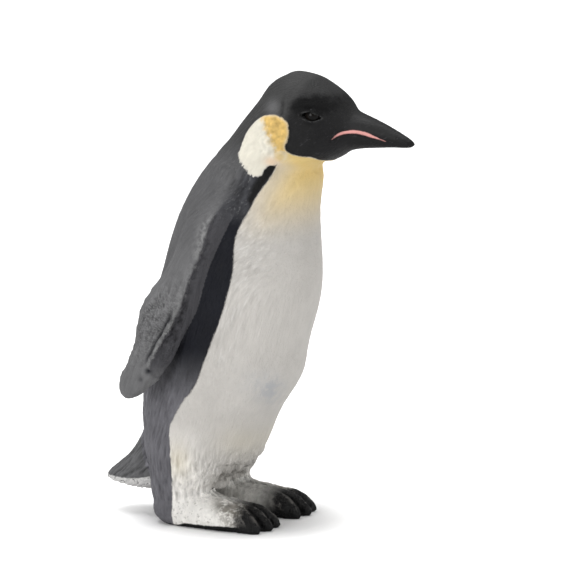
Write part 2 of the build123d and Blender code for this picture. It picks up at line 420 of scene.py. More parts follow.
def model_face(mesh, ear):
    """The mouth and the bill's ridges, the groove behind the cheek, the ear patch, nape, culmen and chin."""
    points, out = read_points(mesh), read_normals(mesh)
    places = side_places(points)
    forward, up = places.T
    on_bill = forward > 23.0
    lift = -0.24 * hump(away_from(places, smooth_line(MOUTH)), 0.22) * on_bill
    lift += 0.12 * hump(away_from(places, smooth_line(LIP_UPPER)), 0.3) * on_bill
    lift += 0.14 * hump(away_from(places, smooth_line(BILL_PLANE)), 0.4) * ramp(forward, 24.5, 26.5)
    groove = away_from(places, smooth_line(CHEEK_GROOVE))
    lift -= 0.42 * hump(groove, 0.22)
    lift += 0.18 * hump(groove - 0.7, 0.45) * (forward < 15.2)
    lift += 0.2 * ramp(ear, -0.25, 0.45) * ramp(up, 61, 68)
    lift -= 0.12 * hump(ear + 0.35, 0.25) * ramp(up, 66, 68)
    lift *= (up > 61) * ramp(np.abs(points[:, 0]), 1.0, 2.0)

    nape = -0.4 * ramp(up, 60, 68) * fall(forward, 8, 12)
    culmen = 0.38 * ramp(forward, 24, 27) * fall(forward, 28, 35) * ramp(out[:, 2], 0.2, 0.8) * (up > 68)
    chin = 0.14 * ramp(-out[:, 2], 0.1, 0.6) * ramp(forward, 20.5, 22) * fall(forward, 25, 28) * (up > 63)
    drip = 0.26 * spot(places, (21.3, 65.2), 0.45) * hump(points[:, 0], 1.4)
    push_out(mesh, lift + nape + culmen + chin + drip)


def model_eyelids(mesh):
    """Draws the skin over each eye bead as two lids, and leaves an almond opening between them."""
    points = read_points(mesh)
    rim = np.zeros(len(points))
    for name, side in (("left_eye", 1), ("right_eye", -1)):
        low, high = node_box(name)
        middle, size = (low + high) / 2, (high - low).max() / 2
        from_eye = np.hypot(points[:, 1] - middle[1], points[:, 2] - middle[2])
        near = np.nonzero((from_eye < 3.4) & (points[:, 0] * side > 3.0))[0]
        ahead, over = middle[1] - points[near, 1], points[near, 2] - middle[2]
        out, off = points[near, 0] * side, from_eye[near]
        ring = off > 1.9
        terms = np.stack([np.ones(len(near)), ahead, over, ahead ** 2, ahead * over, over ** 2], 1)
        cheek = terms @ np.linalg.lstsq(terms[ring], out[ring], rcond=None)[0]
        bead = middle[0] * side + np.sqrt(np.maximum(size ** 2 - off ** 2, 0.0))
        tilted = over + 0.16 * ahead + 0.12
        lid = np.abs(tilted) - 0.66 * (1 - (ahead / 1.75) ** 2)
        cover = np.maximum(cheek, np.where(off < size, bead + 0.1, 0.0))
        cover += 0.16 * hump(lid - 0.16, 0.2)
        cover += 0.2 * hump(tilted - 1.9, 0.5) * hump(ahead, 2.2)
        cover -= 0.14 * hump(tilted - 1.25, 0.25) * hump(ahead, 1.9)
        cover -= 0.12 * hump(tilted + 1.15, 0.25) * hump(ahead, 1.7)
        pull = fall(off, 2.0, 3.3)
        open_eye = (lid < 0) & (off < 1.7)
        lifted = np.where(open_eye, np.minimum(out, bead - 0.25), out + pull * (cover - out))
        points[near, 0] = lifted * side
        # A mark along the lid rims, where painted glints go.
        rim[near] = hump(lid - 0.12, 0.14) * (off < 2.2)
    write_points(mesh, points)
    keep_value(mesh, "lid", rim)


def model_belly_folds(mesh):
    """Creases where the belly hangs over the legs, and the wrinkled skin between them."""
    points = read_points(mesh)
    forward, up = side_places(points).T
    across = points[:, 0]
    sway = 0.35 * np.sin(across * 0.55 + 0.6) + 0.18 * np.sin(across * 1.3 + 2.0)
    between = ramp(forward, -1.5, 1.0) * fall(np.abs(across), 6.0, 8.8) * ramp(up, 4.6, 6.0)
    folds = sum(lift * hump(up - height - share * sway, width) for height, share, lift, width in BELLY_FOLDS)
    slant = 0.2 * np.sin(2.2 * across + 1.9 * up) * hump(up - 8.5, 2.6)
    notch = -0.35 * hump(forward - 3.2, 1.5) * hump(up - 6.3, 1.2)
    push_out(mesh, (1.4 * folds + slant) * between + notch)


def model_feet(mesh, near):
    """Long toes with deep hollows between them, low knuckles and claws."""
    points = read_points(mesh)
    forward, up = side_places(points).T
    across = np.abs(points[:, 0]) - FOOT_ACROSS - forward * math.sin(math.radians(FOOT_TURN))
    reach = np.hypot(forward - TOE_ROOT, across)
    spread = np.abs(np.degrees(np.arctan2(across, forward - TOE_ROOT)))
    ahead = ramp(forward, 3.0, 6.0) * (near["foot"] < ON_PIECE) * ramp(up, 0.2, 1.0)
    half = TOE_ANGLE / 2
    valley = hump(spread - half, 2.0)
    from_toe = np.select([spread < half, spread < 3 * half], [spread, spread - TOE_ANGLE], 0.0)
    crest = hump(from_toe, 4.0)
    knuckle = 0.1 * hump(reach - 8.6, 1.2) * (1 - valley)
    claw = -0.16 * hump(reach - 11.1, 0.5)
    push_out(mesh, ahead * (-0.5 * valley + 0.12 * crest * ramp(up, 1.5, 2.5) + knuckle + claw))
    # A mark along the toe crests, for painted highlights.
    keep_value(mesh, "toe_crest", crest ** 3 * ahead * ramp(up, 1.0, 2.4) * ramp(forward, 6.5, 8.0))


def before_ridge(places):
    """How far forward of the flipper's ridge each place lies."""
    ridge = smooth_line(FLIPPER_RIDGE)[::-1]
    return places[:, 0] - np.interp(places[:, 1], ridge[:, 1], ridge[:, 0])


def cracked_stretch(up):
    """The stretch of the flipper's ridge that is cracked."""
    return fall(up, 37.5, 40) * ramp(up, 29, 31)


def model_flippers(mesh, near):
    """The pits near each tip and the cracked ridge."""
    points = read_points(mesh)
    places = side_places(points)
    up = places[:, 1]
    before = before_ridge(places) + 0.16 * np.sin(up * 2.3) + 0.1 * np.sin(up * 5.1 + 1.0)
    lift = 0.3 * hump(np.minimum(before + 0.1, 0), 0.9) * hump(np.maximum(before, 0), 0.25) * fall(up, 52, 58)
    lift -= 0.32 * hump(before - 0.55, 0.32) * fall(up, 55, 58.5) * ramp(up, 29, 32)
    lift += cracked_stretch(up) * (0.16 * hump(before + 0.4, 0.2) - 0.46 * hump(before + 1.0, 0.34))
    lift -= 0.7 * spot(places, FLIPPER_PIT, 0.45)
    lift -= 0.3 * spot(places, (-6.9, 26.8), 0.5, (1.0, 0.8))
    blade = (near["flipper"] < ON_PIECE) * (np.abs(points[:, 0]) > 13)
    push_out(mesh, lift * blade)


# The feather relief


def node(tree, kind, inputs=None, **settings):
    made = tree.nodes.new(kind)
    for name, value in settings.items():
        setattr(made, name, value)
    for socket, value in (inputs or {}).items():
        if isinstance(value, bpy.types.NodeSocket):
            tree.links.new(value, made.inputs[socket])
        else:
            made.inputs[socket].default_value = value
    return made


def math_out(tree, operation, first, second=0.0, third=0.0):
    made = node(tree, "ShaderNodeMath", {0: first, 1: second, 2: third}, operation=operation)
    return made.outputs[0]


def times(tree, first, second):
    return math_out(tree, "MULTIPLY", first, second)


def relief_tree():
    """Raises brush-like feather strokes and pebbled scales on a skin, as deep as its attributes say."""
    tree = bpy.data.node_groups.new("feather_relief", "GeometryNodeTree")
    tree.interface.new_socket("Skin", in_out="INPUT", socket_type="NodeSocketGeometry")
    for name, value in FEATHER_RELIEF.items():
        tree.interface.new_socket(name, in_out="INPUT", socket_type="NodeSocketFloat").default_value = value
    tree.interface.new_socket("Paint", in_out="INPUT", socket_type="NodeSocketMaterial")
    tree.interface.new_socket("Skin", in_out="OUTPUT", socket_type="NodeSocketGeometry")
    given = tree.nodes.new("NodeGroupInput").outputs
    result = tree.nodes.new("NodeGroupOutput")

    def named(name, kind="FLOAT"):
        made = node(tree, "GeometryNodeInputNamedAttribute", {"Name": name}, data_type=kind)
        return made.outputs["Attribute"]

    def bumps(place, detail, depth):
        """Noise about nothing, as deep as an attribute says."""
        inputs = {"Vector": place.outputs[0], "W": given["Seed"], "Scale": 1.0, "Detail": detail,
                  "Roughness": 0.6}
        texture = node(tree, "ShaderNodeTexNoise", inputs, noise_dimensions="4D")
        middled = math_out(tree, "SUBTRACT", texture.outputs[0], 0.5)
        return times(tree, times(tree, middled, named(depth)), RELIEF_GAIN)

    lay = named("lay", "FLOAT_VECTOR")
    width = given["Stroke Width"]
    stretch = node(tree, "ShaderNodeCombineXYZ", {0: width, 1: width, 2: given["Stroke Length"]})
    along = node(tree, "ShaderNodeVectorMath", {0: lay, 1: stretch.outputs[0]}, operation="DIVIDE")
    shrink = math_out(tree, "DIVIDE", 1.0, given["Scale Size"])
    pebbled = node(tree, "ShaderNodeVectorMath", {0: lay, "Scale": shrink}, operation="SCALE")
    height = math_out(tree, "ADD", bumps(along, 2.0, "stroke_depth"), bumps(pebbled, 1.5, "pebble_depth"))
    out = node(tree, "GeometryNodeInputNormal")
    lifted = node(tree, "ShaderNodeVectorMath", {0: out.outputs[0], "Scale": height}, operation="SCALE")
    skin = node(tree, "GeometryNodeStoreNamedAttribute",
                {"Geometry": given["Skin"], "Name": "relief", "Value": height},
                data_type="FLOAT", domain="POINT").outputs[0]
    for kind, inputs in (("GeometryNodeSetPosition", {"Offset": lifted.outputs[0]}),
                         ("GeometryNodeRealizeInstances", {}),
                         ("GeometryNodeSetMaterial", {"Material": given["Paint"]})):
        skin = node(tree, kind, {"Geometry": skin, **inputs}).outputs[0]
    tree.links.new(skin, result.inputs[0])
    return tree


def set_lay(mesh, front, on_tail):
    """Which way the feathers lie: the skin's places, turned so that up runs along the strokes."""
    points = read_points(mesh)
    places = side_places(points)
    up = places[:, 1]
    swell = 1 - 0.36 * ramp(up, 16, 34) * np.where(up > 62, ramp(front, -1.0, 1.0), front > 0)
    lay = (places - NAPE) * swell[:, None] + NAPE
    turns = (((0.0, 13.0), -14.0 * fall(up, 9, 18)), ((11.0, 46.0), 23.0 * ramp(up, 38, 53)),
             ((14.0, 64.0), 18.0 * ramp(up, 60, 68)), ((0.0, 0.0), 17.0 + 47.0 * on_tail))
    for middle, degrees in turns:
        turn = np.radians(degrees)
        ahead, over = (lay - middle).T
        turned = [ahead * np.cos(turn) - over * np.sin(turn), over * np.cos(turn) + ahead * np.sin(turn)]
        lay = np.stack(turned, 1) + middle
    keep_vector(mesh, "lay", np.column_stack([points[:, 0] * swell, lay]))


def set_relief(mesh, near, front, ear):
    """How deep and which way the feathers lie, all over the bird."""
    points = read_points(mesh)
    places = side_places(points)
    forward, up = places.T
    least = np.minimum.reduce(list(near.values()))
    on_flipper, on_foot = near["flipper"] <= least, near["foot"] <= least
    on_hood, on_tail = near["hood"] <= least, near["tail"] <= least
    set_lay(mesh, front, on_tail)

    scales = on_flipper * hump(up - 37, 6.0) * ramp(np.abs(points[:, 0]), 15.2, 16.0)
    near_flank = hump(front - 2.0, 3.2) * (front > -0.5) * (1 - 0.7 * ramp(up, 53, 60))
    ruffled = spot(places, (8.0, 61.5), 3.2, (1.0, 0.8))
    blade = 0.07 + 0.14 * scales
    instep = 0.09 + 0.25 * ramp(up, 4.2, 6.2)
    white = 0.06 + 0.2 * near_flank * ramp(up, 24, 40) + 0.28 * fall(up, 10, 17)
    dark = 0.07 + 0.13 * fall(up, 22, 34) + 0.16 * ruffled
    stroke = np.select([on_tail, on_flipper, on_foot, on_hood & (forward < 12), on_hood, front > 0],
                       [0.36, blade, instep, 0.06, 0.03, white], dark)
    bill = ramp(forward, 24, 27) * on_hood
    # Where the feathers of the flank and legs get painted highlights and shade.
    plume = np.clip(0.6 * near_flank * ramp(up, 22, 36) + fall(up, 10, 18), 0, 1) * (front > 0)
    on_ear = ramp(ear, -0.1, 0.6)
    pebble = 0.24 * scales + 0.2 * on_ear * ramp(forward, 10.5, 13) * ramp(up, 65, 67)
    pebble += 0.09 * on_ear + 0.07 * on_foot * ramp(up, 0.2, 0.8)
    fine = np.select([on_hood & (ear < 0), on_foot], [0.75, 0.5], 0.6)
    fine = np.clip(fine + 0.2 * near_flank + 0.4 * fall(up, 10, 16), 0, 1) * (1 - 0.7 * bill)
    keep_value(mesh, "stroke_depth", stroke * (1 - bill))
    keep_value(mesh, "pebble_depth", pebble)
    keep_value(mesh, "scales", scales)
    keep_value(mesh, "plume", plume)
    keep_value(mesh, "fine", fine)


def raise_relief(mesh, paint):
    thing = link(bpy.data.objects.new("relief", mesh))
    tree = relief_tree()
    relief = thing.modifiers.new("feather_relief", "NODES")
    relief.node_group = tree
    values = {**FEATHER_RELIEF, "Paint": paint}
    for item in tree.interface.items_tree:
        if item.in_out == "INPUT" and item.name in values:
            relief[item.identifier] = values[item.name]
    made = plain_mesh(thing)
    bpy.data.objects.remove(thing)
    return made


# The paint lines


def front_outline():
    """The white breast and legs, seen from the side: up the flank line and along the jaw."""
    return np.vstack([smooth_line(BREAST_EDGE)[::-1], smooth_line(JAW_EDGE), BEFORE_BREAST])


def mark_paint(mesh, near, front, ear):
    """Where each paint lies: how far inside its line a point is, or its share of the paint."""
    points, out = read_points(mesh), read_normals(mesh)
    places = side_places(points)
    forward, up = places.T
    across = np.abs(points[:, 0])
    on_flipper = (near["flipper"] < near["trunk"]) & (near["flipper"] < AT_PIECE)
    on_tail = (near["tail"] < near["trunk"]) & (near["tail"] < AT_PIECE)
    on_trunk = near["trunk"] < AT_PIECE
    marks = {"tail": on_tail}

    nape = 1.4 - np.hypot(*(places - NAPE).T)
    pale = np.maximum(np.maximum(front, ear), nape)
    pale[on_flipper | on_tail] = -5
    under = smooth_line(TAIL_UNDERSIDE)
    below = np.interp(forward, under[:, 0], under[:, 1]) - up
    pale[on_tail] = np.minimum(below, 1.0 - 1.5 * out[:, 2])[on_tail]
    marks["pale"] = pale
    lobe = fall(forward, 10.0, 13.0) * fall(up, 67.0, 70.5) * ramp(ear, -2.5, -1.5)
    marks["brushy"] = np.where(up > 61, 0.3 + 1.6 * lobe, 0.5)
    flank = away_from(places, smooth_line(BREAST_EDGE), 5.0)
    throat = ramp(up, 50.0, 63.5) * (0.4 + 0.6 * ramp(flank, 0.3, 4.0)) * ramp(front, -0.2, 0.3)
    marks["throat"] = np.maximum(throat, 0.8 * ramp(nape, -0.4, 0.5))
    marks["ear"] = np.minimum(ear, 0.5 - nape)
    marks["ear_yellow"] = np.minimum(0.84 * (forward + 0.643 * (up - 70) - 12.8), up - 66.6)
    marks["ear_orange"] = spot(places, (14.0, 65.2), 0.9, (0.7, 1.0))

    lips = inside_by(places, np.vstack([smooth_line(LIP_UPPER), smooth_line(LIP_LOWER)[::-1]]))
    marks["lips"] = np.where(across > 0.5, lips, -2.0)
    # The face's black thins out over the top of the head, so the crown stays greyer: a painted reflection of
    # the light from above on the black hood.
    face = ramp(forward - 0.35 * (up - 70), 14.4, 16.2) * (1 - 0.6 * ramp(up, 75.2, 77.6)) * (up > 60)
    bill = ramp(forward, 23.0, 27.0) * ramp(up - np.interp(forward, [23, 38], [70.6, 68.4]), 0.2, 1.0)
    marks["face"] = np.clip(face * (1 - 0.28 * bill), 0, 1)
    from_brow = np.hypot((forward - 20.3) / 2.0, up - 74.8)
    marks["brow"] = 1.75 - from_brow + 5.0 * np.minimum(up - 66, 0)
    # A lighter grey patch behind the cheek groove: a painted highlight.
    marks["cheek"] = spot(places, (13.3, 74.3), 1.4, (0.9, 1.0)) * (forward < 15.2)

    before = before_ridge(places)
    inner = np.sign(points[:, 0]) * out[:, 0] < -0.2
    outer = on_flipper & ~inner
    # Painted shade: the flipper's leading face and its inner side are painted darker, as faces turned from
    # the light.
    marks["lead"] = np.where(on_flipper, np.where(inner, 2.0, before), -2.0)
    marks["blade"] = on_flipper * fall(up, 44, 54)
    # Painted highlight along the flipper's ridge, strongest over its cracked stretch.
    crest = hump(np.minimum(before + 0.15, 0), 0.9 + 0.6 * ramp(up, 46, 52)) * outer
    crest = crest * hump(np.maximum(before + 0.05, 0), 0.15) * ramp(up, 28, 30)
    bare = 0.42 * fall(up, 54, 57) + 0.75 * hump(up - 34.5, 4.0) + 0.45 * hump(up - 53, 4.5)
    marks["crest"] = crest * bare
    # The gap mark: the trunk behind the flipper goes dark navy, partly the bird's dark paint and partly
    # painted shade cast by the flipper; the flipper's pits and crack get painted shade too.
    pits = spot(places, FLIPPER_PIT, 0.5) + 0.5 * spot(places, (-6.8, 26.9), 0.4, (1.0, 0.8))
    crack = 0.8 * hump(before + 1.0, 0.36) * cracked_stretch(up)
    behind_blade = ramp(up, 21, 33) * fall(up, 55, 60) * ramp(front, -9.5, -4.5) * (front < 0.5)
    gap = behind_blade * on_trunk * ~on_flipper
    marks["gap"] = np.clip(gap + (pits + crack) * outer, 0, 1)

    marks["shade"] = ramp(front, -6.2, -2.6) * ramp(up, 53.5, 57.5) * fall(up, 62.5, 65.5) * (forward < 14.5)
    wide = np.interp(up, [57.0, 58.5, 64.0], [0.0, 1.1, 1.9])
    by_neck = (up > 56) & (up < 66) & ~on_flipper
    marks["wedge"] = np.where(by_neck, np.minimum(-front, wide + front), -2.0)
    # Painted light: the low back is painted lighter and bluer than the rest of the back, where the body turns
    # under.
    marks["strip"] = fall(up, 22, 34) * on_trunk * ~on_flipper
    aslant = points[:, 0] + 5.6 + 0.75 * (up - 24.6)
    marks["smudge"] = hump(np.hypot(aslant / 3.0, (up - 24.6) / 2.8), 1.0) * (forward > 5)
    cream = spot(places, (-2.4, 12.0), 2.2, (1.0, 0.7)) + 0.5 * spot(places, (6.9, 14.8), 3.0)
    marks["cream"] = cream * on_trunk
    marks["leg"] = fall(up, 11, 20) * fall(forward, -0.5, 2.5) * ramp(across, 5.0, 7.5)
    # Painted shade between the legs, under the belly.
    marks["crotch_shade"] = fall(up, 8.0, 12.5) * ramp(forward, -1.5, 2.0) * fall(across, 5.5, 8.0)

    marks["toes"] = forward - 8.4 + 0.4 * np.maximum(1.8 - up, 0)
    over_web = ramp(forward + 1.4 * (9.5 - across), 1.8, 5.2)
    marks["wash"] = np.maximum(over_web, ramp(forward + 1.14 * up, 6.6, 10.4))
    # The feet's inner sides, which get painted shade.
    marks["inner_side"] = fall(across - 0.15 * (up - 3), 7.0, 8.3)
    marks["ankle"] = ramp(up, 4.2, 5.8)
    marks["sole"] = 0.25 + 0.55 * ramp(forward, -3.6, -1.5) + 0.25 * ramp(forward, 2, 6) - up
    marks["heel"] = -(forward + 4.15)
    for name, values in marks.items():
        keep_value(mesh, name, values)


# Sharing the casting out among the pieces


def cut_along_joints(mesh, gaps):
    """Cuts the skin where two pieces meet, and gives back which piece each face belongs to."""
    table = np.stack([gaps[name] for name in PIECES], 1)
    owner = table.argmin(1)
    edges = read_edges(mesh)
    shape = bmesh.new()
    shape.from_mesh(mesh)
    shape.verts.ensure_lookup_table()
    shape.edges.ensure_lookup_table()
    crossing = np.nonzero(owner[edges[:, 0]] != owner[edges[:, 1]])[0]
    picked = [(shape.edges[k], shape.verts[edges[k, 0]], *edges[k]) for k in crossing]
    cuts = []
    for edge, start, first, last in picked:
        here, there = owner[first], owner[last]
        begin = table[first, there] - table[first, here]
        end = table[last, here] - table[last, there]
        share = min(max(begin / max(begin + end, TINY), CUT_MARGIN), 1 - CUT_MARGIN)
        cuts.append(bmesh.utils.edge_split(edge, start, share)[1])
    bmesh.ops.connect_verts(shape, verts=cuts)
    shape.to_mesh(mesh)
    shape.free()
    known = np.full(len(mesh.vertices), -1)
    known[:len(owner)] = owner
    counts, corners = read_faces(mesh)
    return np.maximum(np.maximum.reduceat(known[corners], np.cumsum(counts) - counts), 0)


def rims(counts, corners):
    """The open edges of a set of faces, in loops, each edge the way its face runs."""
    ends = np.cumsum(counts)
    follow = np.arange(len(corners)) + 1
    follow[ends - 1] = ends - counts
    after = corners[follow]
    size = corners.max() + 1
    forth, back = corners.astype(np.int64) * size + after, after.astype(np.int64) * size + corners
    leaving = {}
    for k in np.nonzero(~np.isin(forth, back))[0]:
        leaving.setdefault(int(corners[k]), []).append(int(after[k]))
    loops = []
    while leaving:
        here = next(iter(leaving))
        loop = []
        while here in leaving:
            there = leaving[here].pop()
            if not leaving[here]:
                del leaving[here]
            loop.append((here, there))
            here = there
        loops.append(loop)
    return loops


def closed_piece(mesh, name, chosen):
    """One piece's part of the skin, each open rim closed over towards a place deep inside."""
    counts, corners = read_faces(mesh)
    used, corners = np.unique(corners[np.repeat(chosen, counts)], return_inverse=True)
    counts = counts[chosen]
    points, out = read_points(mesh)[used], read_normals(mesh)[used]
    deep, lids = [], []
    for loop in rims(counts, corners):
        places = points[[start for start, end in loop]]
        below = places[:, 2] < LEG_TOP if len(loop) > LONG_RIM else np.zeros(len(loop), bool)
        ways = {"middle": ~below, "left": below & (places[:, 0] > 0), "right": below & (places[:, 0] <= 0)}
        which = np.empty(len(loop), int)
        for way, inside in ways.items():
            if inside.any():
                which[inside] = len(points) + len(deep)
                middle = places[inside].mean(0) + (0, 0, 0 if way == "middle" else 0.3 * LEG_TOP)
                deep.append(np.array(JAW_HOLLOW) if middle[1] < BETWEEN_LEGS - BILL_START else middle)
        for k, (start, end) in enumerate(loop):
            here, there = which[k], which[(k + 1) % len(loop)]
            lids.append((end, start, here))
            if here != there:
                lids.append((end, here, there))
    corners = np.concatenate([corners, np.ravel(lids)]).astype(np.int32)
    counts = np.concatenate([counts, np.full(len(lids), 3)]).astype(np.int32)
    made = bpy.data.meshes.new(name)
    made.vertices.add(len(points) + len(deep))
    made.loops.add(len(corners))
    made.polygons.add(len(counts))
    made.polygons.foreach_set("loop_start", (np.cumsum(counts) - counts).astype(np.int32))
    made.loops.foreach_set("vertex_index", corners)
    made.update(calc_edges=True)
    write_points(made, np.vstack([points, *deep]))
    for label in PAINT_MARKS:
        keep_value(made, label, np.concatenate([read_value(mesh, label)[used], np.zeros(len(deep))]))
    keep_vector(made, "lay", np.vstack([read_vector(mesh, "lay")[used], np.zeros((len(deep), 3))]))
    made.shade_smooth()
    return made, np.vstack([out, np.tile((0.0, 0.0, 1.0), (len(deep), 1))])


# Paint effects that the paints share


def mixed(tree, share, first, second, blend="MIX"):
    made = node(tree, "ShaderNodeMix", {0: share, 6: first, 7: second}, data_type="RGBA", blend_type=blend)
    return made.outputs[2]


def stretched(tree, value, low, high, to_low=0.0, to_high=1.0):
    limits = {"Value": value, "From Min": low, "From Max": high, "To Min": to_low, "To Max": to_high}
    return node(tree, "ShaderNodeMapRange", limits, interpolation_type="SMOOTHSTEP").outputs["Result"]


def own_place(tree):
    return tree.nodes.new("ShaderNodeTexCoord").outputs["Object"]


def noise(tree, scale, detail=2.0, rough=0.5):
    made = node(tree, "ShaderNodeTexNoise", {"Vector": own_place(tree), "Scale": scale, "Detail": detail,
                                             "Roughness": rough})
    return made.outputs[0]


def even_grey(tree, tone):
    return node(tree, "ShaderNodeCombineColor", {0: tone, 1: tone, 2: tone}).outputs[0]


def marked(tree, name, strength=None):
    """One of the skin's paint marks, at a strength where one is given."""
    mark = node(tree, "ShaderNodeAttribute", attribute_name=name, attribute_type="GEOMETRY").outputs["Fac"]
    return mark if strength is None else times(tree, mark, strength)


def socket_kind(label):
    return "NodeSocketColor" if label == "Color" else "NodeSocketFloat"


def effect(name, inputs, outputs):
    """A shared paint effect with named inputs and outputs; what is named Color is a colour."""
    tree = bpy.data.node_groups.new(name, "ShaderNodeTree")
    for label, value in inputs.items():
        socket = tree.interface.new_socket(label, in_out="INPUT", socket_type=socket_kind(label))
        socket.default_value = value
    for label in outputs:
        tree.interface.new_socket(label, in_out="OUTPUT", socket_type=socket_kind(label))
    return tree, tree.nodes.new("NodeGroupInput").outputs, tree.nodes.new("NodeGroupOutput").inputs


def use(tree, name, inputs, output=0):
    return node(tree, "ShaderNodeGroup", inputs, node_tree=EFFECTS[name]).outputs[output]


def rgb(red, green, blue):
    return (red, green, blue, 1.0)


GREY = rgb(0.105, 0.105, 0.108)
PALE_GREY = rgb(0.15, 0.15, 0.153)
FLIPPER_GREY = rgb(0.145, 0.145, 0.148)
# Light grey for painted highlights on the raised flipper scales.
SCALE_HIGHLIGHT_GREY = rgb(0.25, 0.25, 0.253)
# Light grey for the painted highlight along the flipper's ridge.
CREST_HIGHLIGHT_GREY = rgb(0.27, 0.27, 0.27)
# A lighter, bluer grey: painted light on the low back, and the grey of the heel.
STRIP_GREY = rgb(0.13, 0.128, 0.141)
# Dark grey for the painted shade of the flippers' leading faces and scale hollows, and the dry-brushed grey
# on the black face.
LEAD_GREY = rgb(0.062, 0.061, 0.067)
LID_GLINT_GREY = rgb(0.05, 0.05, 0.05)
SHOULDER = rgb(0.04, 0.041, 0.046)
CROWN_GREY = rgb(0.052, 0.052, 0.052)
SOOT = rgb(0.0105, 0.0105, 0.011)
PITCH = rgb(0.005, 0.005, 0.0052)
NAVY_AND_SHADE = rgb(0.0065, 0.0072, 0.0115)
CHALK = rgb(0.565, 0.543, 0.512)
LEG_WHITE = rgb(0.84, 0.815, 0.78)
INSTEP_WHITE = rgb(0.88, 0.86, 0.82)
TAIL_WHITE = rgb(0.66, 0.65, 0.64)
FEATHER_HIGHLIGHT = rgb(0.82, 0.805, 0.78)
FEATHER_SHADE = rgb(0.4, 0.385, 0.36)
CREAM = rgb(0.77, 0.735, 0.63)
BUTTER = rgb(0.68, 0.61, 0.44)
YELLOW = rgb(0.66, 0.45, 0.15)
TAN = rgb(0.72, 0.54, 0.225)
ORANGE = rgb(0.8, 0.52, 0.3)
SALMON = rgb(0.84, 0.4, 0.37)
# Brown-grey for the speckles and wash on the feet, and for the painted shade between the legs.
SOIL_AND_SHADE = rgb(0.24, 0.225, 0.2)
# Lighter brown-grey for the painted highlights along the toes.
TOE_HIGHLIGHT = rgb(0.2, 0.19, 0.175)
# Grey for the painted shade on the feet's inner sides.
INNER_SHADE_GREY = rgb(0.6, 0.59, 0.56)
SMUDGE = rgb(0.42, 0.43, 0.45)
EYE_BLACK = rgb(0.004, 0.004, 0.004)
EYE_BROWN = rgb(0.012, 0.009, 0.007)
PLAIN_GREY = rgb(0.5, 0.5, 0.5)

# How much painted highlight and shade the feathers carry, the sizes of strokes and scales in millimetres, and
# the
# finest relief: the heights in it are shares of its depth, which is in metres.
FEATHER_SHARES = {"Bright": 0.62, "Dull": 0.26}
FINE_STROKE = {"Width": 0.3, "Length": 2.4}
FLIPPER_SCALE = {"Scale Size": 0.6}
TOOTH = {"Scales": 2.2, "Grain": 0.12, "Grain Size": 2600.0}
TOOTH_DEPTH = 0.0003


def brushed_edge_effect():
    """A hand-painted edge: a distance in millimetres from the line becomes a mask that wanders a little."""
    tree, given, result = effect("brushed_edge", {"Distance": 0.0, "Wander": 0.3, "Blur": 0.12}, ["Mask"])
    sway = math_out(tree, "SUBTRACT", noise(tree, 900.0, 3.0, 0.65), 0.5)
    moved = math_out(tree, "MULTIPLY_ADD", sway, given["Wander"], given["Distance"])
    share = math_out(tree, "DIVIDE", moved, given["Blur"])
    tree.links.new(stretched(tree, share, -1.0, 1.0), result["Mask"])
    return tree


def mottle_effect():
    """Broad blotches of uneven tone, and a tone that follows the relief: lighter on the raised strokes,
    darker in the sunken ones.
    """
    tree, given, result = effect("mottle", {"Color": PLAIN_GREY, "Blotch": 0.1, "Stroke": 1.0}, ["Color"])
    blotch = times(tree, math_out(tree, "SUBTRACT", noise(tree, 160.0, 4.0, 0.6), 0.5), given["Blotch"])
    raised = marked(tree, "relief", given["Stroke"])
    tone = math_out(tree, "ADD", math_out(tree, "ADD", blotch, raised), 1.0)
    tree.links.new(mixed(tree, 1.0, given["Color"], even_grey(tree, tone), "MULTIPLY"), result["Color"])
    return tree


def feather_strokes_effect():
    """Fine strokes that follow the lay of the feathers, and the rough scales of the flippers, as heights."""
    tree, given, result = effect("feather_strokes", {"Width": 0.3, "Length": 2.4, "Scale Size": 0.42},
                                 ["Stroke", "Scale"])
    lay = node(tree, "ShaderNodeAttribute", attribute_name="lay", attribute_type="GEOMETRY").outputs["Vector"]

    def drawn_out(width, length, rough):
        """Noise about nothing, drawn out along the feathers."""
        stretch = node(tree, "ShaderNodeCombineXYZ", {0: width, 1: width, 2: length})
        along = node(tree, "ShaderNodeVectorMath", {0: lay, 1: stretch.outputs[0]}, operation="DIVIDE")
        texture = node(tree, "ShaderNodeTexNoise", {"Vector": along.outputs[0], "Scale": 1.0, "Detail": 3.0,
                                                    "Roughness": rough})
        return math_out(tree, "SUBTRACT", texture.outputs[0], 0.5)

    tree.links.new(drawn_out(given["Width"], given["Length"], 0.6), result["Stroke"])
    row = times(tree, given["Scale Size"], 0.45)
    tree.links.new(drawn_out(given["Scale Size"], row, 0.7), result["Scale"])
    return tree


def feather_light_and_shade_effect():
    """Painted highlights on the raised feathers of the flank and legs, and painted shade between them."""
    tree, given, result = effect("feather_light_and_shade", {"Color": PLAIN_GREY, **FEATHER_SHARES}, ["Color"])
    strokes = use(tree, "strokes", {"Width": 0.28, "Length": 3.0})
    bright = marked(tree, "plume", stretched(tree, strokes, 0.02, 0.18, 0.0, given["Bright"]))
    dull = marked(tree, "plume", stretched(tree, strokes, -0.18, -0.05, given["Dull"], 0.0))
    colour = mixed(tree, bright, given["Color"], FEATHER_HIGHLIGHT)
    tree.links.new(mixed(tree, dull, colour, FEATHER_SHADE), result["Color"])
    return tree


def paint_tooth_effect():
    """The finest relief: feather strokes, flipper scales and the grain of the paint, as one height."""
    tree, given, result = effect("paint_tooth", TOOTH, ["Height"])
    strokes = marked(tree, "fine", use(tree, "strokes", FINE_STROKE))
    scales = marked(tree, "scales", use(tree, "strokes", FLIPPER_SCALE, "Scale"))
    height = math_out(tree, "MULTIPLY_ADD", scales, given["Scales"], strokes)
    grain = noise(tree, given["Grain Size"], 2.0, 0.6)
    tree.links.new(math_out(tree, "MULTIPLY_ADD", grain, given["Grain"], height), result["Height"])
    return tree


